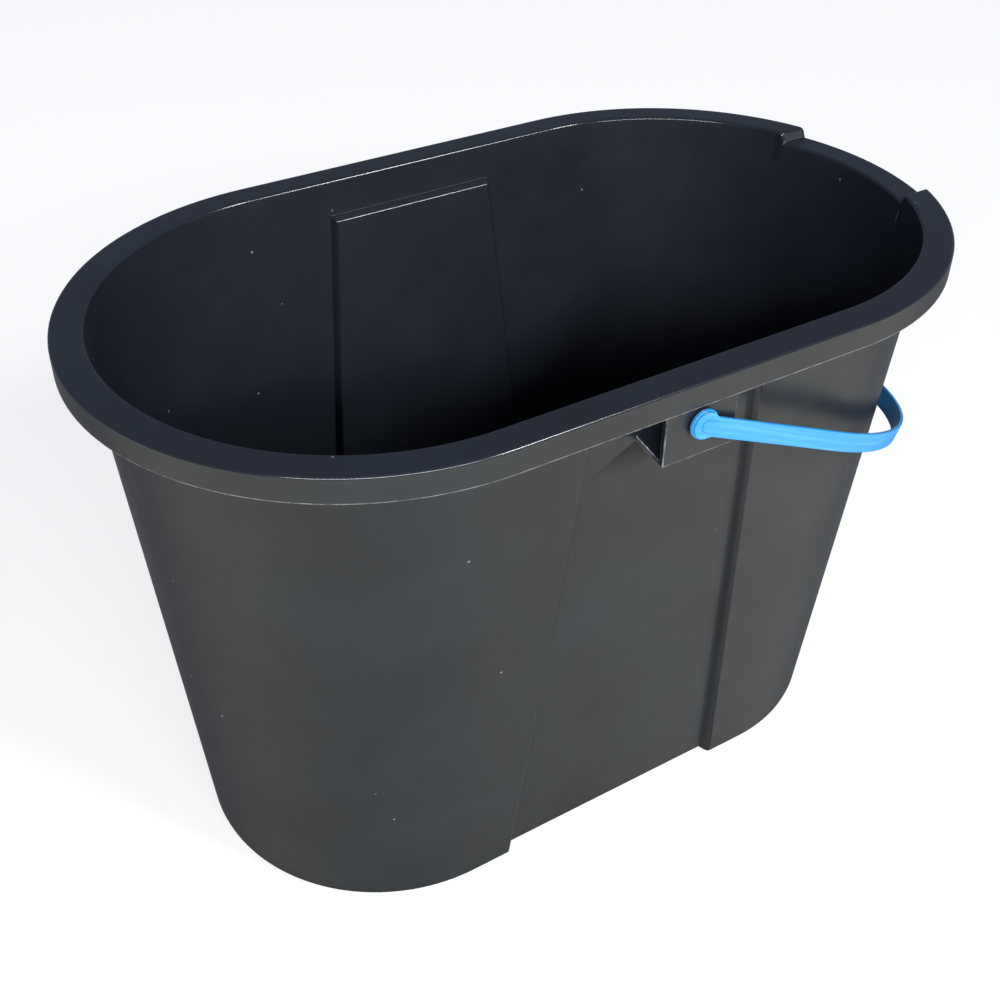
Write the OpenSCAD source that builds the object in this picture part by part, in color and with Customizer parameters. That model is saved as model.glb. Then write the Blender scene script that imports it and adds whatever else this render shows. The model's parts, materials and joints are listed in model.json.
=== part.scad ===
// Florist bucket: a tapered, oval-ended moulded tub with a strap bail.
// Millimetres. X runs along the bucket, Y across it and Z up; the base
// stands on z = 0 and the bucket is centred on x = 0, y = 0. Its pouring
// notch and the end where its bail rests are at +X.

/* [Bucket] */
// Length over the rim
rim_l = 500; // [420:5:600]
// Width over the rim
rim_w = 298; // [240:2:360]
// Height from the ground to the top of the rim
height = 333; // [270:1:400]
// Thickness of the tub's wall, measured level
wall = 2.5; // [2:0.1:3.5]
// Thickness of the floor
floor_t = 3; // [2:0.1:5]
// How far each side leans out between the ground and the rim
wall_lean = 24.5; // [16:0.5:30]
// Radius where the wall turns under the base
base_r = 5; // [3:0.5:8]
// Width of the foot ring that the bucket stands on
foot_w = 16; // [12:1:22]
// Height of the foot ring
foot_h = 2; // [1:0.5:4]

/* [Rim] */
// Width of the rim's flat top
rim_flange = 15; // [12:0.5:20]
// Thickness of the flat top
rim_t = 3; // [2:0.1:4]
// Height of the skirt that turns down from the rim
skirt_h = 14.5; // [12:0.5:20]
// Thickness of the skirt
skirt_t = 2.5; // [2:0.1:3.5]
// Radius of the rim's inner edge
lip_r = 2; // [1:0.1:2.5]
// Radius of the rim's outer top edge
edge_r = 1.2; // [0.5:0.1:2]
// Width of the pouring notch at the rim's top
notch_w = 105; // [70:1:130]
// Depth of the pouring notch
notch_h = 6; // [4:0.5:8]
// How far each side of the notch leans in towards its floor
notch_lean = 2; // [0:0.5:4]

/* [Side panels] */
// Half-width of a panel at its top edge
panel_top = 51.5; // [40:0.5:70]
// Half-width of a panel at the ground
panel_foot = 77.5; // [60:0.5:90]
// Drop from the rim to a panel's top edge
panel_drop = 23.5; // [20:0.5:40]
// Depth of a panel at its top edge
panel_depth_top = 4.5; // [3:0.1:6]
// Depth of a panel at the ground
panel_depth_foot = 6.4; // [4:0.1:8]
// How far a panel's edges slope inwards from the wall to its face
panel_slope = 3; // [1:0.1:4]

/* [Lugs] */
// Width of a bail lug
lug_w = 42; // [32:1:60]
// Height of a lug below the skirt
lug_h = 27.5; // [24:0.5:34]
// Thickness of a lug's plate and of its lower web
lug_t = 2.8; // [2.2:0.1:4]
// How far a lug's face lies behind the skirt's face
lug_set = 0.6; // [0.3:0.1:1.5]
// Rise of a lug's lower web from its plate back to the tub
lug_rise = 3.5; // [0:0.5:8]

/* [Bail] */
// Drop from the skirt's lower edge to the pivot
pivot_drop = 8.5; // [6:0.5:16]
// Radius of the journals that turn in the lugs
journal_r = 5; // [3.5:0.1:6]
// Radial clearance round a journal
journal_gap = 0.06; // [0.03:0.01:0.1]
// Radius of the hub discs
hub_r = 7.8; // [7:0.1:12]
// Thickness of the strap
strap_t = 2.2; // [1.8:0.1:4]
// Width of the strap at the hubs
strap_w = 10.5; // [8:0.5:14]
// Width of the strap at the middle of the bail
grip_w = 11.5; // [10:0.5:20]
// Space between the strap and the rim that it swings over
rim_gap = 1.5; // [1.4:0.1:4]
// Space between a hub disc and the skirt's face
hub_gap = 0.4; // [0.3:0.1:0.8]
// Space left where the strap rests on the end wall
rest_gap = 0.2; // [0.1:0.1:1]
// How far the rib on each hub stands out of the strap
rib_h = 0.8; // [0.4:0.1:1.5]
// Width of that rib
rib_w = 6.4; // [4:0.2:8]
// Length over which the rib fades into the strap
rib_l = 28; // [15:1:50]
// End play of the bail between the lugs, on each side
end_play = 0.4; // [0.2:0.1:1]
// How far a snap head stands out round its journal
barb = 0.9; // [0.5:0.1:1.5]
// Length of a snap head
head_l = 4.5; // [3:0.5:7]
// Width of the slot that lets a snap head spring
slot_w = 1.6; // [1:0.1:2.5]

/* [Hidden] */
$fn = 96;
// Overlap that makes a cut pass clean through a face, or a boss join one.
over = 1;
// Thickness of the flat outlines that a hull joins.
leaf = 0.01;

// Both ends are half cones about these two upright axes, one draft all round.
rim_r = rim_w / 2;
end_x = rim_l / 2 - rim_r;
lean = wall_lean / height;
lean_angle = atan(lean);
slant = sqrt(1 + lean * lean);
top_r = rim_r - rim_flange - lip_r + wall;
foot_r = top_r - wall_lean;
skirt_z = height - skirt_h;
floor_z = foot_h + floor_t;
function wall_r(z) = foot_r + lean * z;
function arc(x, y, r, from, to, steps = 8) =
    [for (i = [0:steps]) let (t = from + (to - from) * i / steps) [x + r * cos(t), y + r * sin(t)]];

// Half sections, as [distance out from the middle, height].
outer_half = concat(
    [[0, 0]],
    arc(wall_r(base_r) - base_r * slant, base_r, base_r, -90, -lean_angle),
    [[wall_r(height - rim_t), height - rim_t],
     [rim_r - skirt_t, height - rim_t],
     [rim_r - skirt_t, skirt_z]],
    arc(rim_r - edge_r / 2, skirt_z + edge_r / 2, edge_r / 2, -90, 0, 4),
    arc(rim_r - edge_r, height - edge_r, edge_r, 0, 90, 4),
    [[0, height]]
);
cavity_half = concat(
    [[0, floor_z]],
    arc(wall_r(floor_z + base_r) - wall - base_r * slant, floor_z + base_r, base_r, -90, -lean_angle),
    arc(wall_r(height - lip_r) - wall + lip_r * slant, height - lip_r, lip_r, 180 - lean_angle, 90, 4),
    [[top_r - wall + lip_r, height + over], [0, height + over]]
);
foot_half = [[0, -over], [foot_r - foot_w, -over], [foot_r - foot_w - foot_h, foot_h], [0, foot_h]];
notch_fill_half = [
    [wall_r(height - rim_t - notch_h) - wall / 2, height - rim_t - notch_h],
    [rim_r - skirt_t / 2, height - rim_t - notch_h],
    [rim_r - skirt_t / 2, height - rim_t / 2],
    [wall_r(height - rim_t - notch_h) - wall / 2, height - rim_t / 2]
];

// Side panels.
panel_z = height - panel_drop;
panel_face_foot = foot_r - panel_depth_foot;
panel_face_lean = (wall_r(panel_z) - panel_depth_top - panel_face_foot) / panel_z;
panel_taper = (panel_foot - panel_top) / panel_z;
function panel_face(z) = panel_face_foot + panel_face_lean * z;

// Lugs and pivot.
lug_face = rim_r - lug_set;
lug_back = lug_face - lug_t;
lug_z = skirt_z - lug_h;
web_z = lug_z + lug_rise;
pivot_z = skirt_z - pivot_drop;
bore_r = journal_r + journal_gap;

// Bail, in its own plane: s runs out from the pivot, and the strap's middle
// is a half circle about s = end_x, so it follows the rim at rim_gap.
strap_in = rim_r + rim_gap;
strap_out = strap_in + strap_t;
hub_in = rim_r + hub_gap;
hub_out = (strap_in + strap_out) / 2;
reach = end_x + strap_in;
head_y = lug_back - end_play;
// The strap's lower inside corner stops rest_gap short of the end wall.
stop_a = reach + lean * grip_w / 2;
stop_b = lean * reach - grip_w / 2;
stop_c = end_x + foot_r + lean * pivot_z + rest_gap * slant;
rest_drop = atan2(stop_b, stop_a) + acos(stop_c / sqrt(stop_a * stop_a + stop_b * stop_b));

// A solid with two half-round ends and straight sides from one half section.
module oval_solid(half) {
    for (side = [-1, 1])
        translate([side * end_x, 0, 0])
            rotate([0, 0, -90 * side])
                rotate_extrude(angle = 180)
                    polygon(half);
    for (side = [0, 1])
        mirror([0, side, 0])
            rotate([90, 0, 90])
                linear_extrude(2 * end_x, center = true)
                    polygon(half);
}

// Outline of a side panel, laid in the plane of the panel's face.
module panel_outline(grow, face_shift) {
    top_w = panel_top + grow;
    low_w = panel_foot + grow + panel_taper * over;
    y = panel_face_foot - panel_face_lean * over + face_shift;
    translate([0, -y, -over])
        rotate([90 + atan(panel_face_lean), 0, 0])
            linear_extrude(leaf)
                polygon([[-low_w, 0], [low_w, 0], [top_w, panel_z + grow + over], [-top_w, panel_z + grow + over]]);
}

// Space that a side panel takes out of the tub's wall. The same block, grown
// by the wall's thickness, stays standing inside.
module panel_block(grow) {
    reach_out = panel_depth_foot + grow + over;
    hull() {
        panel_outline(grow - panel_slope, -grow);
        panel_outline(grow - panel_slope + panel_slope * reach_out / panel_depth_foot, reach_out - grow);
    }
}

module panels(grow) {
    for (side = [0, 1])
        mirror([0, side, 0])
            panel_block(grow);
}

// Pouring notch through the rim at +X.
module notch(grow) {
    floor_w = notch_w - 2 * notch_lean;
    rotate([90, 0, 90])
        translate([0, 0, end_x])
            linear_extrude(rim_r + over)
                polygon([
                    [-floor_w / 2 - grow, height - notch_h - grow],
                    [floor_w / 2 + grow, height - notch_h - grow],
                    [notch_w / 2 + grow, height + over],
                    [-notch_w / 2 - grow, height + over]
                ]);
}

// Plate and lower web of one lug, bored for the bail.
module lug() {
    difference() {
        rotate([90, 0, 90])
            linear_extrude(lug_w, center = true)
                polygon([
                    [-lug_face, lug_z],
                    [-lug_face, height - rim_t / 2],
                    [-lug_back, height - rim_t / 2],
                    [-lug_back, lug_z + lug_t],
                    [-panel_face(web_z) + wall / 2, web_z + lug_t],
                    [-panel_face(web_z) + wall / 2, web_z]
                ]);
        translate([0, -lug_face - over, pivot_z])
            rotate([-90, 0, 0])
                cylinder(r = bore_r, h = lug_t + 2 * over);
    }
}

module bucket_body() {
    color("#2b2d31") {
        difference() {
            oval_solid(outer_half);
            panels(0);
            difference() {
                oval_solid(cavity_half);
                panels(wall);
            }
            oval_solid(foot_half);
            notch(0);
        }
        difference() {
            intersection() {
                oval_solid(notch_fill_half);
                notch(rim_t);
            }
            notch(0);
        }
        for (side = [0, 1])
            mirror([0, side, 0])
                lug();
    }
}

// Strap: two straight arms and a half-round middle, widening from hub to grip.
module strap() {
    intersection() {
        union() {
            translate([end_x, 0, 0])
                rotate([0, 0, -90])
                    rotate_extrude(angle = 180)
                        translate([strap_in, -grip_w / 2])
                            square([strap_t, grip_w]);
            for (side = [-1, 1])
                translate([end_x / 2, side * (strap_in + strap_t / 2), 0])
                    cube([end_x, strap_t, grip_w], center = true);
        }
        rotate([90, 0, 0])
            linear_extrude(2 * strap_out + over, center = true)
                polygon([
                    [0, -strap_w / 2],
                    [end_x + strap_out, -grip_w / 2],
                    [end_x + strap_out, grip_w / 2],
                    [0, strap_w / 2]
                ]);
    }
}

// One hub: strap end, disc, fading rib, journal and split snap head.
module hub() {
    translate([0, -strap_in, 0])
        rotate([90, 0, 0])
            cylinder(d = strap_w, h = strap_t);
    translate([0, -hub_in, 0])
        rotate([90, 0, 0])
            cylinder(r = hub_r, h = hub_out - hub_in);
    translate([0, -hub_out, 0])
        rotate([90, 0, 0])
            cylinder(d = rib_w, h = strap_out + rib_h - hub_out);
    linear_extrude(rib_w, center = true)
        polygon([[0, -hub_out], [0, -strap_out - rib_h], [rib_l, -strap_out], [rib_l, -hub_out]]);
    translate([0, -hub_out, 0])
        rotate([-90, 0, 0])
            cylinder(r = journal_r, h = hub_out - head_y);
    difference() {
        translate([0, -head_y, 0])
            rotate([-90, 0, 0])
                cylinder(r1 = journal_r + barb, r2 = journal_r - barb, h = head_l);
        translate([0, over - head_y + head_l / 2, 0])
            cube([slot_w, head_l, 2 * (journal_r + barb) + over], center = true);
    }
}

module bail_handle() {
    color("#5cb8f0")
        translate([0, 0, pivot_z])
            rotate([0, rest_drop, 0]) {
                strap();
                for (side = [0, 1])
                    mirror([0, side, 0])
                        hub();
            }
}

bucket_body();
bail_handle();
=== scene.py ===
import json
import math

import bmesh
import bpy
from mathutils import Matrix, Vector


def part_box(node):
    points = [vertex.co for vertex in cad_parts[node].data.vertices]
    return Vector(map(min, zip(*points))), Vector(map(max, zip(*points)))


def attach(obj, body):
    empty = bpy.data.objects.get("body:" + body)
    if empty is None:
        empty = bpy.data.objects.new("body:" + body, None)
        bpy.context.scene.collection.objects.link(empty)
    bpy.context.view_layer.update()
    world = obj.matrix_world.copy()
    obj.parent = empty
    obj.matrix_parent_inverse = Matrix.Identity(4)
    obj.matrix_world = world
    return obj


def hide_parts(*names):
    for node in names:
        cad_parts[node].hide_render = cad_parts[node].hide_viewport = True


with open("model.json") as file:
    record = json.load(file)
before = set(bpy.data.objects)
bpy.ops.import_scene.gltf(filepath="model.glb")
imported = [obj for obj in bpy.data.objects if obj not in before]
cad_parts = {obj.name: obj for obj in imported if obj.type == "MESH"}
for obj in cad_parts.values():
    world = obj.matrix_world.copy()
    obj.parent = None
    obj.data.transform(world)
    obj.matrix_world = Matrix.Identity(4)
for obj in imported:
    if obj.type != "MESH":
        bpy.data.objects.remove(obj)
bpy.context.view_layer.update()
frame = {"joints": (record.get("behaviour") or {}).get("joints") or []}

MM = 0.001

# ---------------------------------------------------------- sizes, mm
tub_low, tub_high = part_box("bucket_body")
swing = frame["joints"][0]

# the tub is one wall section, turned round two upright axes at x = +-END_X and run straight between
RIM_R = (tub_high.y - tub_low.y) / MM / 2
HEIGHT = tub_high.z / MM
END_X = tub_high.x / MM - RIM_R
WALL = 2.5                              # thickness, measured level
LEAN = 24.5 / HEIGHT                    # how far the wall leans out for each mm of height
FLOOR = 3.0
FOOT_H = 2.0                            # foot ring: its height and its width
FOOT_W = 16.0
FOOT_EDGE_R = 0.6                       # roundings along the foot ring's inner slope
BASE_R = 5.0                            # rounding where the wall turns under

FLANGE = 15.0                           # flat rim, from the mouth's rounding to its outer edge
RIM_T = 3.0
SKIRT_H = 14.5                          # the rim's downturned edge
SKIRT_T = 2.5
LIP_R = 2.0                             # rounding from the inside wall into the rim
EDGE_R = 2.0                            # rounding from the rim into the skirt
UNDER_R = 1.5                           # roundings in the hollow under the rim
TOP_R = RIM_R - FLANGE - LIP_R + WALL   # the wall's outer radius, carried up to the rim's top
FOOT_R = TOP_R - LEAN * HEIGHT
SKIRT_Z = HEIGHT - SKIRT_H

PANEL_Z = HEIGHT - 23.5                 # top edge of a side panel
PANEL_TOP = 51.5                        # half-width at the top edge, and on the ground
PANEL_FOOT = 77.5
PANEL_IN_TOP = 4.5                      # depth at the top edge, and on the ground
PANEL_IN_FOOT = 6.4
PANEL_SLOPE = 3.0                       # run of the step round it
PANEL_TAPER = (PANEL_FOOT - PANEL_TOP) / PANEL_Z

NOTCH_W = 105.0
NOTCH_H = 6.0
NOTCH_LEAN = 2.0                        # how far each side leans in towards the notch's floor

LUG_W = 42.0
LUG_H = 27.5
LUG_T = 2.8
LUG_SET = 0.6                           # how far the plate is set back from the skirt's face
LUG_RISE = 3.5                          # how far the lower web rises on its way in to the wall

PIVOT_Z = swing["pos_m"][2] / MM
REST_DROP = math.radians(swing["range_deg"][1] - 180) / 2
JOURNAL_R = 5.0
JOURNAL_GAP = 0.06
HUB_R = 7.8
HUB_IN = RIM_R + 0.4                    # inner face of a hub
STRAP_IN = RIM_R + 1.5                  # inner face of the strap
STRAP_T = 2.2
STRAP_W = 10.5                          # the strap's width at its hubs, and at the hand grip
GRIP_W = 11.5
HEAD_L = 4.5                            # snap head: its length, and how far its barb stands proud
BARB = 0.9
SLOT_W = 1.6                            # the slot that lets a snap head close up
SLOT_L = 4.5
RIB_W = 6.4                             # rib on a hub: across the strap, along it, and its height
RIB_L = 28.0
RIB_H = 0.8


def wall_r(z):
    """Radius of the tub's outside at a height."""
    return FOOT_R + LEAN * z


# ---------------------------------------------------------- mesh tools
def spread(first, last, count):
    return [first + (last - first) * i / (count - 1) for i in range(count)]


def rounded(corners, steps=4):
    """A line through (x, y, radius) corners, each rounded to its radius."""
    line = []
    last = len(corners) - 1
    for i, (x, y, radius) in enumerate(corners):
        here = Vector((x, y))
        if radius == 0 or i in (0, last):
            line.append(here)
            continue
        before = (Vector(corners[i - 1][:2]) - here).normalized()
        after = (Vector(corners[i + 1][:2]) - here).normalized()
        half = before.angle(after) / 2
        centre = here + (before + after).normalized() * radius / math.sin(half)
        start = here + before * radius / math.tan(half) - centre
        turn = start.angle_signed(here + after * radius / math.tan(half) - centre)
        for k in range(steps + 1):
            line.append(centre + Matrix.Rotation(-turn * k / steps, 2) @ start)
    return line


def arc(radius, first, last, count):
    return [(radius * math.cos(a), radius * math.sin(a)) for a in spread(first, last, count)]


def add_line(bm, points, closed=False):
    """Vertices and edges of a section through 3-D points."""
    verts = [bm.verts.new(p) for p in points]
    pairs = list(zip(verts, verts[1:]))
    if closed:
        pairs.append((verts[-1], verts[0]))
    return verts, [bm.edges.new(p) for p in pairs]


def of_type(geom, kind):
    return [g for g in geom if isinstance(g, kind)]


def shift(bm, geom, by):
    bmesh.ops.translate(bm, verts=of_type(geom, bmesh.types.BMVert), vec=by)


def slab(bm, outline, by):
    """A solid, pushed out of a closed outline along a vector. Gives its far face's geometry."""
    edges = add_line(bm, outline, closed=True)[1]
    near = bmesh.ops.contextual_create(bm, geom=edges)["faces"]
    far = bmesh.ops.extrude_face_region(bm, geom=near)["geom"]
    shift(bm, far, by)
    return far


def sharp_edges(bm, over_deg):
    return [e for e in bm.edges if e.is_manifold and e.calc_face_angle(0) > math.radians(over_deg)]


def bevel(bm, edges, width, segments=3):
    bmesh.ops.bevel(bm, geom=edges, offset=width, offset_type="OFFSET", affect="EDGES",
                    segments=segments, profile=0.5, material=-1, clamp_overlap=True)


def finish_mesh(bm, name, smooth_deg=35):
    """Turns a bmesh in mm into an object in metres, with edges over smooth_deg left crisp."""
    bmesh.ops.remove_doubles(bm, verts=bm.verts, dist=0.002)
    bmesh.ops.dissolve_degenerate(bm, dist=0.001, edges=bm.edges)
    bmesh.ops.recalc_face_normals(bm, faces=bm.faces)
    for face in bm.faces:
        face.smooth = True
    for edge in bm.edges:
        edge.smooth = edge.is_manifold and edge.calc_face_angle(0) < math.radians(smooth_deg)
    bmesh.ops.scale(bm, vec=(MM, MM, MM), verts=bm.verts)
    mesh = bpy.data.meshes.new(name)
    bm.to_mesh(mesh)
    bm.free()
    obj = bpy.data.objects.new(name, mesh)
    bpy.context.scene.collection.objects.link(obj)
    return obj


def combine(target, tool, operation):
    """Joins tool to target, or cuts it out, as one closed shell, and removes tool."""
    mod = target.modifiers.new(operation, "BOOLEAN")
    mod.operation = operation
    mod.solver = "EXACT"
    mod.object = tool
    graph = bpy.context.evaluated_depsgraph_get()
    bm = bmesh.new()
    bm.from_mesh(target.evaluated_get(graph).to_mesh())
    # where faces nearly touch, the join leaves slivers and hairline gaps: they are merged and closed
    sliver = 0.002 * MM
    bmesh.ops.remove_doubles(bm, verts=bm.verts, dist=sliver)
    bmesh.ops.holes_fill(bm, edges=[e for e in bm.edges if e.is_boundary], sides=4)
    bmesh.ops.dissolve_degenerate(bm, dist=sliver, edges=bm.edges)
    target.modifiers.clear()
    bm.to_mesh(target.data)
    bm.free()
    bpy.data.objects.remove(tool)


def mark_corners(obj, rub_and_highlight, widest=1.4 * MM, over_deg=8):
    """Marks the narrow faces that round the corners, for the finish to read: crest is 1 on all
    of them and 0 elsewhere, and the wear-and-highlight layer is what the given function (centre in mm) gives
    there, a mask for pale rubbed wear and painted edge highlights."""
    bm = bmesh.new()
    bm.from_mesh(obj.data)
    crest = bm.faces.layers.float.new("crest")
    wear_and_highlight = bm.faces.layers.float.new("wear_and_highlight")
    for f in bm.faces:
        bends = [e.calc_face_angle_signed(0) > math.radians(over_deg) for e in f.edges if e.is_manifold]
        if any(bends) and 2 * f.calc_area() / f.calc_perimeter() < widest:
            f[crest] = 1.0
            f[wear_and_highlight] = rub_and_highlight(f.calc_center_median() / MM)
    bm.to_mesh(obj.data)
    bm.free()


# ---------------------------------------------------------- the tub
FLOOR_Z = FOOT_H + FLOOR
WALL_ROWS = 9                           # rows of corners up the wall, so that no face is long and thin


def tub_section():
    """Half section of the wall, from the floor's inside middle, over the rim, to its underside."""
    # the rows keep clear of the roundings below and above them
    inner_low = FLOOR_Z + 12
    outer_low = BASE_R + 8
    high = SKIRT_Z - 4
    inner = [(0, FLOOR_Z, 0), (wall_r(FLOOR_Z) - WALL, FLOOR_Z, BASE_R)]
    inner += [(wall_r(z) - WALL, z, 0) for z in spread(inner_low, high, WALL_ROWS)]
    inner += [(TOP_R - WALL, HEIGHT, LIP_R)]
    rim = [
        (RIM_R, HEIGHT, EDGE_R),
        (RIM_R, SKIRT_Z, EDGE_R / 2),
        (RIM_R - SKIRT_T, SKIRT_Z, EDGE_R / 2),
        (RIM_R - SKIRT_T, HEIGHT - RIM_T, UNDER_R),
        (wall_r(HEIGHT - RIM_T), HEIGHT - RIM_T, UNDER_R),
    ]
    outer = [(wall_r(z), z, 0) for z in spread(high, outer_low, WALL_ROWS)]
    foot = [
        (FOOT_R, 0, BASE_R),
        (FOOT_R - FOOT_W, 0, FOOT_EDGE_R),
        (FOOT_R - FOOT_W - FOOT_H, FOOT_H, FOOT_EDGE_R),
        (0, FOOT_H, 0),
    ]
    return rounded(inner + rim + outer + foot)


# A panel's edge runs in from the wall over PANEL_SLOPE. It starts and ends in a rounding, given as
# its share of that run: the outer corner of the step is soft and the inner one is nearly sharp.
SOFT = 0.86
CRISP = 0.12
OUTER_STEP = (SOFT, CRISP)
INNER_STEP = (CRISP, SOFT)
CUTS = 5                                # faces across each of those roundings


def step(t, shape):
    """Share of the full step at t of its run."""
    start, end = shape
    t = min(1, max(0, t))
    slope = 1 / (1 - (start + end) / 2)
    if t < start:
        return slope * t * t / (2 * start)
    if t > 1 - end:
        return 1 - slope * (1 - t) ** 2 / (2 * end)
    return slope * (t - start / 2)


def step_cuts(shape):
    """Where along its run a step is cut, so that its roundings have faces to bend."""
    start, end = shape
    ks = range(CUTS + 1)
    return sorted({round(start * k / CUTS, 4) for k in ks} | {round(1 - end * k / CUTS, 4) for k in ks})


def cut(bm, faces, point, normal):
    """Cuts faces, and the edges and corners they own, along a plane."""
    own = set(faces)
    for f in faces:
        own.update(f.edges)
        own.update(f.verts)
    bmesh.ops.bisect_plane(bm, geom=list(own), dist=0.0005, plane_co=point, plane_no=normal)


def side_faces(bm, inside):
    """Faces of the two straight sides, either the tub's inside or its outside."""
    picked = []
    for f in bm.faces:
        c = f.calc_center_median()
        on_end = abs(c.x) > END_X - 0.01
        on_base = abs(c.y) < FOOT_R - FOOT_W
        on_rim = c.z > HEIGHT - RIM_T - 2 or abs(c.y) > wall_r(c.z) + 1
        if on_end or on_base or on_rim:
            continue
        is_inside = abs(c.y) < wall_r(c.z) - WALL / 2 and c.z > FLOOR_Z - 0.1
        if is_inside == inside:
            picked.append(f)
    return picked


def panel_half(z, grow):
    """Half-width of a panel's outline at a height."""
    return PANEL_FOOT + grow - PANEL_TAPER * z


def press_panels(bm):
    """Sets a tapering panel into each long side, and out of the inside by the same amount."""
    # inside or outside of the wall, how much the panel's outline grows there, and the step round it
    sides = ((False, 0, OUTER_STEP), (True, WALL, INNER_STEP))
    for inside, grow, shape in sides:
        top = PANEL_Z + grow
        for t in step_cuts(shape):
            cut(bm, side_faces(bm, inside), (0, 0, top - PANEL_SLOPE * t), (0, 0, 1))
            for side in (-1, 1):
                below = [f for f in side_faces(bm, inside) if f.calc_center_median().z < top]
                edge = panel_half(0, grow) - PANEL_SLOPE * t
                cut(bm, below, (side * edge, 0, 0), (side, 0, PANEL_TAPER))
    # nothing moves before every new place is known, because side_faces tells the faces by their place
    moved = {}
    for inside, grow, shape in sides:
        for v in {v for f in side_faces(bm, inside) for v in f.verts}:
            down = (PANEL_Z + grow - v.co.z) / PANEL_SLOPE
            across = (panel_half(v.co.z, grow) - abs(v.co.x)) / PANEL_SLOPE
            deep = PANEL_IN_FOOT + (PANEL_IN_TOP - PANEL_IN_FOOT) * v.co.z / PANEL_Z
            if abs(v.co.y) > FOOT_R - 2 * BASE_R:
                moved[v] = min(step(down, shape), step(across, shape)) * deep
    for v, deep in moved.items():
        v.co.y -= math.copysign(deep, v.co.y)


def press_notch(bm):
    """Sinks the rim's top between two rounded shoulders at the +X end."""
    half = NOTCH_W / 2
    reach = half + 8
    shoulder = rounded([
        (reach, 0, 0),
        (half, 0, 2.4),
        (half - NOTCH_LEAN, -NOTCH_H, 1.0),
        (0, -NOTCH_H, 0),
    ], 6)
    rim_low = HEIGHT - NOTCH_H - RIM_T - 2

    def rim_faces():
        at_end = [f for f in bm.faces if f.calc_center_median().x > END_X]
        return [f for f in at_end if max(v.co.z for v in f.verts) > rim_low]

    for y, _ in shoulder[:-1]:
        for side in (-1, 1):
            cut(bm, rim_faces(), (0, side * y, 0), (0, 1, 0))
    for v in {v for f in rim_faces() for v in f.verts}:
        y = abs(v.co.y)
        if v.co.z < rim_low or y > reach:
            continue
        for (y0, z0), (y1, z1) in zip(shoulder, shoulder[1:]):
            if y1 <= y <= y0:
                v.co.z += z0 + (z1 - z0) * (y0 - y) / max(y0 - y1, 1e-9)
                break


def make_tub():
    """The section turned round one end, run along a side, turned round the other and run back."""
    bm = bmesh.new()
    verts, edges = add_line(bm, [(END_X, -r, z) for r, z in tub_section()])
    for side in (1, -1):
        turn = bmesh.ops.spin(bm, geom=verts + edges, cent=(side * END_X, 0, 0), axis=(0, 0, 1),
                              dvec=(0, 0, 0), angle=math.pi, steps=72, use_duplicate=False)["geom_last"]
        run = bmesh.ops.extrude_edge_only(bm, edges=of_type(turn, bmesh.types.BMEdge))["geom"]
        shift(bm, run, (-2 * side * END_X, 0, 0))
        verts = of_type(run, bmesh.types.BMVert)
        edges = [e for e in of_type(run, bmesh.types.BMEdge) if all(v in verts for v in e.verts)]
    bmesh.ops.remove_doubles(bm, verts=bm.verts, dist=0.01)
    press_panels(bm)
    press_notch(bm)
    return finish_mesh(bm, "bucket_tub")


def make_lug(side):
    """Plate and lower web of one lug, bored for the bail's journal."""
    face = RIM_R - LUG_SET
    back = face - LUG_T
    top = HEIGHT - 2
    low = SKIRT_Z - LUG_H
    web = low + LUG_RISE
    inner = wall_r(web) - PANEL_IN_TOP - WALL / 2
    outline = rounded([
        (face, top, 0),
        (face, low, 0.8),
        (inner, web, 0),
        (inner, web + LUG_T, 0),
        (back, low + LUG_T, 1.0),
        (back, top, 0),
    ], 3)
    bm = bmesh.new()
    slab(bm, [(-LUG_W / 2, side * y, z) for y, z in outline], (LUG_W, 0, 0))
    bmesh.ops.recalc_face_normals(bm, faces=bm.faces)

    def bounds_an_end(edge):
        first, last = (v.co.x for v in edge.verts)
        below_top = min(v.co.z for v in edge.verts) < top - 1
        return below_top and abs(abs(first) - LUG_W / 2) < 0.1 and abs(first - last) < 0.1

    bevel(bm, [e for e in sharp_edges(bm, 60) if bounds_an_end(e)], 0.5)
    lug = finish_mesh(bm, "lug")
    drill = bmesh.new()
    bore_r = JOURNAL_R + JOURNAL_GAP
    place = Matrix.Translation((0, side * (face + back) / 2, PIVOT_Z)) @ Matrix.Rotation(math.pi / 2, 4, "X")
    bmesh.ops.create_cone(drill, cap_ends=True, segments=64, radius1=bore_r, radius2=bore_r,
                          depth=4 * LUG_T, matrix=place)
    combine(lug, finish_mesh(drill, "drill"), "DIFFERENCE")
    return lug


def tub_wear_and_highlight(c):
    """Pale marks on the skirt's lower edge and the lugs, and a little low down on the panels' -X edges:
    rubbed wear, and a painted highlight along those rounded edges.
    """
    if c.z > SKIRT_Z + 1 or c.z < BASE_R:
        return 0.0
    on_lug = c.z > SKIRT_Z - LUG_H - 1 and abs(c.x) < LUG_W / 2 + 1
    if c.z > SKIRT_Z - 1 or on_lug:
        return float(abs(c.y) > wall_r(c.z) or abs(c.x) > END_X)
    on_panel_edge = abs(c.y) > wall_r(c.z) - 1.5 and -END_X < c.x < 0
    fades_at = 180
    return 0.35 * on_panel_edge * max(0.0, 1 - c.z / fades_at)


tub = make_tub()
for side in (-1, 1):
    combine(tub, make_lug(side), "UNION")
# the pale corner marks are partly rubbed wear and partly painted edge highlights
mark_corners(tub, tub_wear_and_highlight)


# ---------------------------------------------------------- the bail
def to_rest(bm):
    """Turns the bail from level, pointing along +X, down to where it rests."""
    lift = Matrix.Translation((0, 0, PIVOT_Z))
    bmesh.ops.transform(bm, verts=bm.verts, matrix=lift @ Matrix.Rotation(REST_DROP, 4, "Y"))


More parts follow.
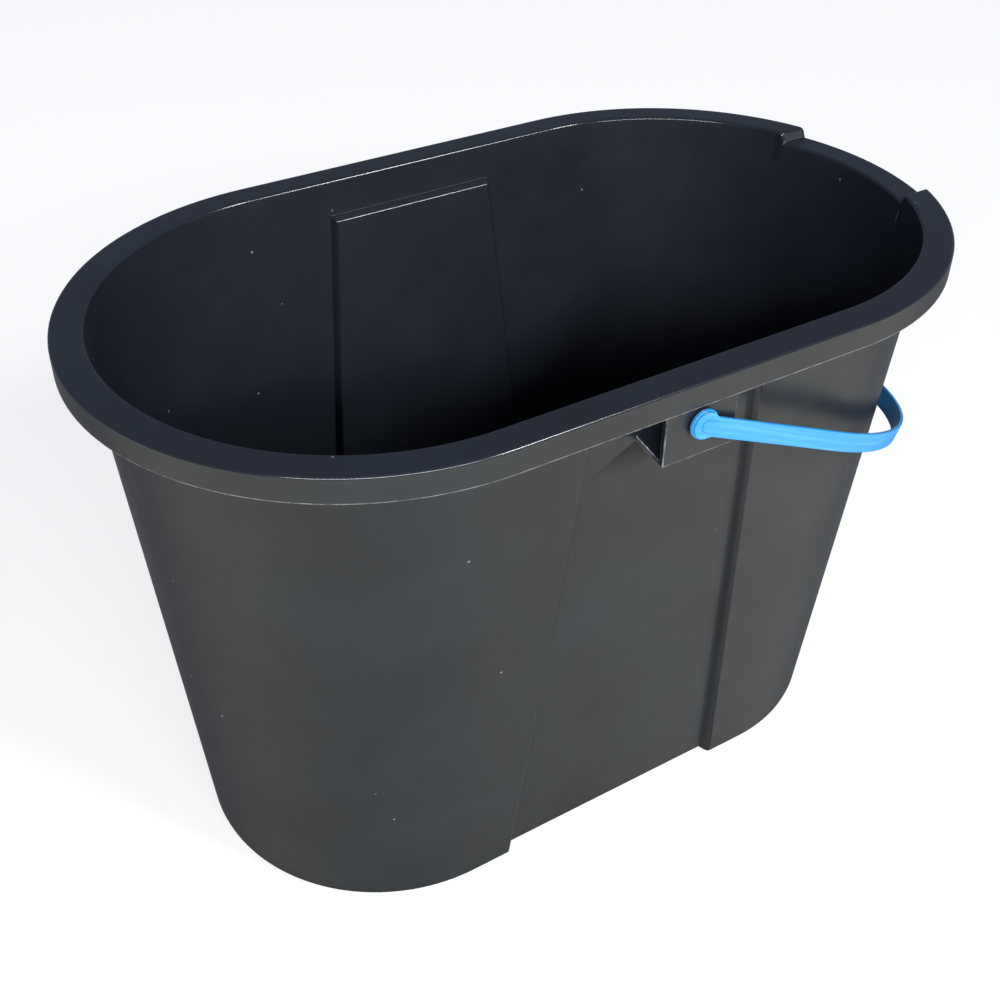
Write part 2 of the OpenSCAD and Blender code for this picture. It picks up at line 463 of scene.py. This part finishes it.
def hub_outline(stub):
    """A hub's disc with the start of the strap, as (along, across) points up to stub along."""
    disc_r = HUB_R - 0.55               # the disc is stepped in from the flange behind it
    half = STRAP_W / 2
    meet = math.asin(half / disc_r)
    disc_from = meet + 0.16             # the corner between disc and strap is filled a little
    neck = disc_r * math.cos(meet) + 1.4
    disc = arc(disc_r, disc_from, 2 * math.pi - disc_from, 41)
    return [(stub, half), (neck, half)] + disc + [(neck, -half), (stub, -half)]


def make_strap():
    """Both hub discs and the strap between them, from one half mirrored."""
    stub = 16.0
    bm = bmesh.new()
    slab(bm, [(s, -STRAP_IN, n) for s, n in hub_outline(stub)], (0, -STRAP_T, 0))
    bm.normal_update()
    end = [f for f in bm.faces if abs(f.calc_center_median().x - stub) < 0.01]
    first_row = 60
    for x in (first_row, END_X):
        geom = bmesh.ops.extrude_face_region(bm, geom=end)["geom"]
        bmesh.ops.delete(bm, geom=end, context="FACES")
        end = of_type(geom, bmesh.types.BMFace)
        shift(bm, geom, (x - max(v.co.x for v in end[0].verts), 0, 0))
    ring = end + list(end[0].edges) + list(end[0].verts)
    last = bmesh.ops.spin(bm, geom=ring, cent=(END_X, 0, 0), axis=(0, 0, 1), dvec=(0, 0, 0),
                          angle=math.pi / 2, steps=40, use_duplicate=False)["geom_last"]
    bmesh.ops.delete(bm, geom=of_type(last, bmesh.types.BMFace), context="FACES_ONLY")
    bmesh.ops.mirror(bm, geom=list(bm.verts) + list(bm.edges) + list(bm.faces),
                     matrix=Matrix.Identity(4), merge_dist=0.01, axis="Y")
    bmesh.ops.remove_doubles(bm, verts=bm.verts, dist=0.01)
    bmesh.ops.recalc_face_normals(bm, faces=bm.faces)
    bevel(bm, sharp_edges(bm, 40), 0.6)
    # the strap widens evenly from its hubs to the hand grip
    reach = END_X + STRAP_IN
    for v in bm.verts:
        v.co.z *= 1 + (GRIP_W / STRAP_W - 1) * max(0, v.co.x) / reach
    to_rest(bm)
    return finish_mesh(bm, "bail_strap")


def make_pivot(side):
    """Rear flange, journal and snap head of one hub, turned about the pivot's axis."""
    seat = STRAP_IN + 0.6
    head = RIM_R - LUG_SET - LUG_T - 0.4
    tip = head - HEAD_L
    profile = rounded([
        (0, seat, 0),
        (HUB_R, seat, 0.25),
        (HUB_R, HUB_IN, 0.25),
        (JOURNAL_R, HUB_IN, 0),
        (JOURNAL_R, head, 0),
        (JOURNAL_R + BARB, head, 0.15),
        (JOURNAL_R - BARB, tip, 0.4),
        (0, tip, 0),
    ], 3)
    bm = bmesh.new()
    verts, edges = add_line(bm, [(r, side * y, 0) for r, y in profile])
    bmesh.ops.spin(bm, geom=verts + edges, cent=(0, 0, 0), axis=(0, 1, 0), dvec=(0, 0, 0),
                   angle=2 * math.pi, steps=64, use_merge=True, use_duplicate=False)
    bmesh.ops.remove_doubles(bm, verts=bm.verts, dist=0.01)
    to_rest(bm)
    pivot = finish_mesh(bm, "pivot")
    slot_from = head - 1.25             # the slot is open at the tip and stops short of the journal
    right_through = 16
    saw = bmesh.new()
    place = Matrix.Translation((0, side * (slot_from - SLOT_L / 2), 0))
    bmesh.ops.create_cube(saw, size=1, matrix=place @ Matrix.Diagonal((SLOT_W, SLOT_L, right_through, 1)))
    to_rest(saw)
    combine(pivot, finish_mesh(saw, "saw"), "DIFFERENCE")
    return pivot


def make_rib(side):
    """Raised rib that stiffens a hub and fades into the strap."""
    radius = RIB_W / 2
    sunk = 0.5                          # its back lies inside the strap, for a clean join
    outline = arc(radius, math.pi / 2, 3 * math.pi / 2, 17) + [(RIB_L, -radius), (RIB_L, radius)]
    bm = bmesh.new()
    raised = slab(bm, [(s, side * (STRAP_IN + sunk), n) for s, n in outline],
                  (0, side * (STRAP_T - sunk + RIB_H), 0))
    bmesh.ops.recalc_face_normals(bm, faces=bm.faces)
    bevel(bm, [e for e in sharp_edges(bm, 60) if all(v in raised for v in e.verts)], 0.7, 4)
    for v in bm.verts:
        if abs(v.co.y) > STRAP_IN + 1 and v.co.x > 0:
            v.co.y -= side * (RIB_H + 0.2) * v.co.x / RIB_L
    to_rest(bm)
    return finish_mesh(bm, "rib")


bail = make_strap()
for side in (-1, 1):
    combine(bail, make_pivot(side), "UNION")
    combine(bail, make_rib(side), "UNION")


# ---------------------------------------------------------- what each piece stands for
for piece in (tub, bail):
    # wide faces stay flat up to their corners, and the narrow ones do all the turning
    piece.modifiers.new("flat_faces", "WEIGHTED_NORMAL").keep_sharp = True
for piece, node, body in ((tub, "bucket_body", "bucket"), (bail, "bail_handle", "bail")):
    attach(piece, body)
    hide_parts(node)


# ---------------------------------------------------------- finishes
def hex_colour(code):
    """sRGB hex to the linear colour that a shader socket takes."""
    parts = [int(code[i:i + 2], 16) / 255 for i in (1, 3, 5)]
    return tuple(c / 12.92 if c <= 0.04045 else ((c + 0.055) / 1.055) ** 2.4 for c in parts) + (1,)


def add(tree, kind, links=None, settings=None, **inputs):
    """Adds a node: attributes from settings, socket values by name, and links by name or number."""
    node = tree.nodes.new("ShaderNode" + kind)
    for key, value in (settings or {}).items():
        setattr(node, key, value)
    for key, value in inputs.items():
        node.inputs[key.replace("_", " ")].default_value = value
    for key, source in (links or {}).items():
        tree.links.new(source, node.inputs[key])
    return node


def new_material(name):
    mat = bpy.data.materials.new(name)
    mat.use_nodes = True
    mat.node_tree.nodes.clear()
    return mat, mat.node_tree


def per_metre(mm):
    """Pattern scale that puts one feature on every so many millimetres."""
    return 1000 / mm


# Polypropylene with carbon black, injection-moulded against a spark-eroded mould: a satin blue-black
# that mirrors its surroundings softly and breaks into thin light lines along its rounded corners.
def moulded_black_polypropylene():
    mat, tree = new_material("moulded_black_polypropylene")
    place = add(tree, "TexCoord").outputs["Object"]
    # carbon black settles unevenly as the wall cools, so the tone drifts over a hand's width
    drift = add(tree, "TexNoise", {"Vector": place}, Scale=per_metre(90), Detail=3.0, Roughness=0.6)
    tone = add(tree, "MapRange", {"Value": drift.outputs["Fac"]}, From_Min=0.35, From_Max=0.65)
    base = add(tree, "Mix", {0: tone.outputs["Result"]}, {"data_type": "RGBA"})
    base.inputs[6].default_value = hex_colour("#1b1f26")
    base.inputs[7].default_value = hex_colour("#21262e")
    # dust and nicks: pale specks about a millimetre across, a few in each palm's width
    cells = add(tree, "TexVoronoi", {"Vector": place}, Scale=per_metre(26))
    speck = add(tree, "MapRange", {"Value": cells.outputs["Distance"]},
                From_Min=0.018, From_Max=0.035, To_Min=1.0, To_Max=0.0)
    dust = add(tree, "Mix", {0: speck.outputs["Result"], 6: base.outputs[2]}, {"data_type": "RGBA"})
    dust.inputs[7].default_value = hex_colour("#7d7d78")
    # corners that get knocked and dragged are rubbed pale, in broken dashes some 7 mm apart; the same pale
    # dashes are also a painted highlight along the skirt's lower edge, the lugs and the panels' -X edges
    wear_and_highlight = add(tree, "Attribute", settings={"attribute_name": "wear_and_highlight"})
    dash = add(tree, "TexNoise", {"Vector": place}, Scale=per_metre(7), Detail=4.0, Roughness=0.7)
    dashed = add(tree, "MapRange", {"Value": dash.outputs["Fac"]}, From_Min=0.3, From_Max=0.6)
    rub_and_highlight = add(tree, "Math", {0: wear_and_highlight.outputs["Fac"], 1: dashed.outputs["Result"]},
                 {"operation": "MULTIPLY"})
    colour = add(tree, "Mix", {0: rub_and_highlight.outputs[0], 6: dust.outputs[2]}, {"data_type": "RGBA"})
    colour.inputs[7].default_value = hex_colour("#85888b")
    # the mould is spark-eroded: a matt skin of grains near half a millimetre, drawn twice as coarse
    # so that they show
    grain = add(tree, "TexNoise", {"Vector": place}, Scale=per_metre(1.1), Detail=2.0)
    skin = add(tree, "Bump", {"Height": grain.outputs["Fac"]}, Strength=0.25, Distance=0.0001)
    # the thin wall also bows a little between its corners, which bends the reflections
    bow = add(tree, "TexNoise", {"Vector": place}, Scale=per_metre(140), Detail=0.0)
    wave = add(tree, "Bump", {"Height": bow.outputs["Fac"], "Normal": skin.outputs["Normal"]},
               Strength=0.35, Distance=0.002)
    # hands polish the skin in patches a few centimetres across
    handled = add(tree, "TexNoise", {"Vector": place}, Scale=per_metre(35), Detail=6.0, Roughness=0.7)
    gloss = add(tree, "MapRange", {"Value": handled.outputs["Fac"]},
                From_Min=0.3, From_Max=0.7, To_Min=0.3, To_Max=0.4)
    # every rounded corner is also smoother than the flats, so it catches the light as a thin line
    crest = add(tree, "Attribute", settings={"attribute_name": "crest"})
    rough = add(tree, "MapRange", {"Value": crest.outputs["Fac"], "To Min": gloss.outputs["Result"]},
                To_Max=0.15)
    shader = add(tree, "BsdfPrincipled", {
        "Base Color": colour.outputs[2],
        "Roughness": rough.outputs["Result"],
        "Normal": wave.outputs["Normal"],
    }, IOR=1.49)
    add(tree, "OutputMaterial", {"Surface": shader.outputs["BSDF"]})
    return mat


# Pigmented polypropylene, injection-moulded against a smoother mould: clean sky blue with a low gloss,
# pale streaks along its flow, and a little light let in at its thin edges.
def moulded_blue_polypropylene():
    mat, tree = new_material("moulded_blue_polypropylene")
    place = add(tree, "TexCoord").outputs["Object"]
    # the pigment is stirred in unevenly, over a few centimetres
    drift = add(tree, "TexNoise", {"Vector": place}, Scale=per_metre(30), Detail=3.0)
    tone = add(tree, "Mix", {0: drift.outputs["Fac"]}, {"data_type": "RGBA"})
    tone.inputs[6].default_value = hex_colour("#2a90d8")
    tone.inputs[7].default_value = hex_colour("#349ce2")
    # the melt runs round the strap from its gate: pale streaks 1 to 2 mm wide and some 60 mm long
    level = add(tree, "Mapping", {"Vector": place}, {"vector_type": "TEXTURE"}, Rotation=(0, REST_DROP, 0),
                Scale=(40, 40, 1), Location=(0, 0, PIVOT_Z * MM))
    run = add(tree, "TexNoise", {"Vector": level.outputs["Vector"]}, Scale=per_metre(1.5), Detail=2.0)
    streak = add(tree, "MapRange", {"Value": run.outputs["Fac"]}, From_Min=0.5, From_Max=0.75, To_Max=0.25)
    flow = add(tree, "Mix", {0: streak.outputs["Result"], 6: tone.outputs[2]}, {"data_type": "RGBA"})
    flow.inputs[7].default_value = hex_colour("#8ad4ff")
    # a finer skin than the tub's, also drawn coarser than it is so that it shows
    grain = add(tree, "TexNoise", {"Vector": place}, Scale=per_metre(1.6), Detail=2.0)
    skin = add(tree, "Bump", {"Height": grain.outputs["Fac"]}, Strength=0.2, Distance=0.0001)
    gloss = add(tree, "MapRange", {"Value": run.outputs["Fac"]}, To_Min=0.3, To_Max=0.42)
    shader = add(tree, "BsdfPrincipled", {
        "Base Color": flow.outputs[2],
        "Roughness": gloss.outputs["Result"],
        "Normal": skin.outputs["Normal"],
    }, IOR=1.49, Subsurface_Weight=0.15, Subsurface_Scale=0.001)
    add(tree, "OutputMaterial", {"Surface": shader.outputs["BSDF"]})
    return mat


# Uncoated paper, brightly lit: flat white that keeps the bucket's soft shadow, with a faint fibre.
def matt_white_paper():
    mat, tree = new_material("matt_white_paper")
    place = add(tree, "TexCoord").outputs["Object"]
    # fibres, drawn as clumps 3 mm across so that they show
    fibre = add(tree, "TexNoise", {"Vector": place}, Scale=per_metre(3), Detail=3.0)
    skin = add(tree, "Bump", {"Height": fibre.outputs["Fac"]}, Strength=0.1, Distance=0.0002)
    shader = add(tree, "BsdfPrincipled", {"Normal": skin.outputs["Normal"]}, Roughness=0.9,
                 Base_Color=hex_colour("#a8a8a7"), Emission_Color=hex_colour("#ffffff"),
                 Emission_Strength=0.7)
    add(tree, "OutputMaterial", {"Surface": shader.outputs["BSDF"]})
    return mat


for piece, finish in ((tub, moulded_black_polypropylene()), (bail, moulded_blue_polypropylene())):
    piece.data.materials.clear()
    piece.data.materials.append(finish)


# ---------------------------------------------------------- camera
LENS = 47.9136                          # mm, on a sensor 36 mm wide
CAM_AZ = math.radians(-32.303)          # round from straight in front, towards -X
CAM_EL = math.radians(37.655)           # up from level
CAM_ROLL = math.radians(0.666)
CAM_DIST = 0.804255                     # from what it looks at
CAM_TARGET = Vector((-0.011975, 0.00694, 0.1665))


def place_camera():
    back = Vector((
        math.sin(CAM_AZ) * math.cos(CAM_EL),
        -math.cos(CAM_AZ) * math.cos(CAM_EL),
        math.sin(CAM_EL),
    ))
    right = Vector((0, 0, 1)).cross(back).normalized()
    up = back.cross(right)
    rolled_right = right * math.cos(CAM_ROLL) + up * math.sin(CAM_ROLL)
    rolled_up = up * math.cos(CAM_ROLL) - right * math.sin(CAM_ROLL)
    place = Matrix((rolled_right, rolled_up, back)).transposed().to_4x4()
    place.translation = CAM_TARGET + back * CAM_DIST
    data = bpy.data.cameras.new("camera")
    data.sensor_width = 36
    data.lens = LENS
    camera = bpy.data.objects.new("camera", data)
    camera.matrix_world = place
    bpy.context.scene.collection.objects.link(camera)
    bpy.context.scene.camera = camera


# ---------------------------------------------------------- light and floor
LAMP_AIM = Vector((0, 0, 0.2))
SOFTBOX_H = 0.3
FLOOR_HALF = 40000                      # mm, from the middle to a side
BACKDROP_R = 30000
BACKDROP_H = 40000


def lamp(name, kind, place, strength, width):
    """A soft lamp aimed at the bucket; width is a softbox's in metres, or a sun's in degrees."""
    data = bpy.data.lights.new(name, kind)
    data.energy = strength
    if kind == "SUN":
        data.angle = math.radians(width)
    else:
        data.shape = "RECTANGLE"
        data.size = width
        data.size_y = SOFTBOX_H
    obj = bpy.data.objects.new(name, data)
    bpy.context.scene.collection.objects.link(obj)
    obj.location = place
    obj.rotation_euler = (LAMP_AIM - Vector(place)).to_track_quat("-Z", "Y").to_euler()


def studio_surround():
    """Cool sky over a ground that is light in front of the bucket and at its -X end, falls off
    towards +X and behind, and is dim straight below."""
    world = bpy.data.worlds.new("studio")
    world.use_nodes = True
    tree = world.node_tree
    tree.nodes.clear()
    toward = add(tree, "TexCoord").outputs["Generated"]
    past = add(tree, "VectorMath", {0: toward}, {"operation": "DOT_PRODUCT"})
    past.inputs[1].default_value = (0.41, 0.91, 0)
    behind = add(tree, "MapRange", {"Value": past.outputs["Value"]}, {"interpolation_type": "SMOOTHSTEP"},
                 From_Min=-0.32, From_Max=0.46)
    ground = add(tree, "Mix", {0: behind.outputs["Result"]}, {"data_type": "RGBA"})
    ground.inputs[6].default_value = hex_colour("#e7e5d0")
    ground.inputs[7].default_value = hex_colour("#66686c")
    rise = add(tree, "SeparateXYZ", {0: toward}).outputs["Z"]
    above = add(tree, "MapRange", {"Value": rise}, {"interpolation_type": "SMOOTHSTEP"},
                From_Min=-0.1, From_Max=0.1)
    both = add(tree, "Mix", {0: above.outputs["Result"], 6: ground.outputs[2]}, {"data_type": "RGBA"})
    both.inputs[7].default_value = hex_colour("#575f6e")
    far = add(tree, "MapRange", {"Value": rise}, From_Min=-0.9, From_Max=-0.6, To_Min=0.25, To_Max=1.65)
    light = add(tree, "Background", {"Color": both.outputs[2], "Strength": far.outputs["Result"]})
    add(tree, "OutputWorld", {"Surface": light.outputs[0]})
    return world


def lay_paper():
    """A wide white floor, and a round backdrop that closes low views and casts no light or shade."""
    paper = matt_white_paper()
    bm = bmesh.new()
    bmesh.ops.create_grid(bm, x_segments=1, y_segments=1, size=FLOOR_HALF)
    floor = finish_mesh(bm, "floor")
    bm = bmesh.new()
    bmesh.ops.create_cone(bm, cap_ends=False, segments=96, radius1=BACKDROP_R, radius2=BACKDROP_R,
                          depth=BACKDROP_H)
    backdrop = finish_mesh(bm, "backdrop")
    backdrop.visible_diffuse = False
    backdrop.visible_shadow = False
    for sheet in (floor, backdrop):
        sheet.data.materials.append(paper)
        sheet.visible_glossy = False


place_camera()
lamp("window", "SUN", place=(0.92, -1.62, 1.4), strength=1.5, width=11)
lamp("softbox", "AREA", place=(-0.9, -2.2, 1.5), strength=76, width=3.0)
bpy.context.scene.world = studio_surround()
bpy.context.scene.view_settings.view_transform = "Standard"
lay_paper()
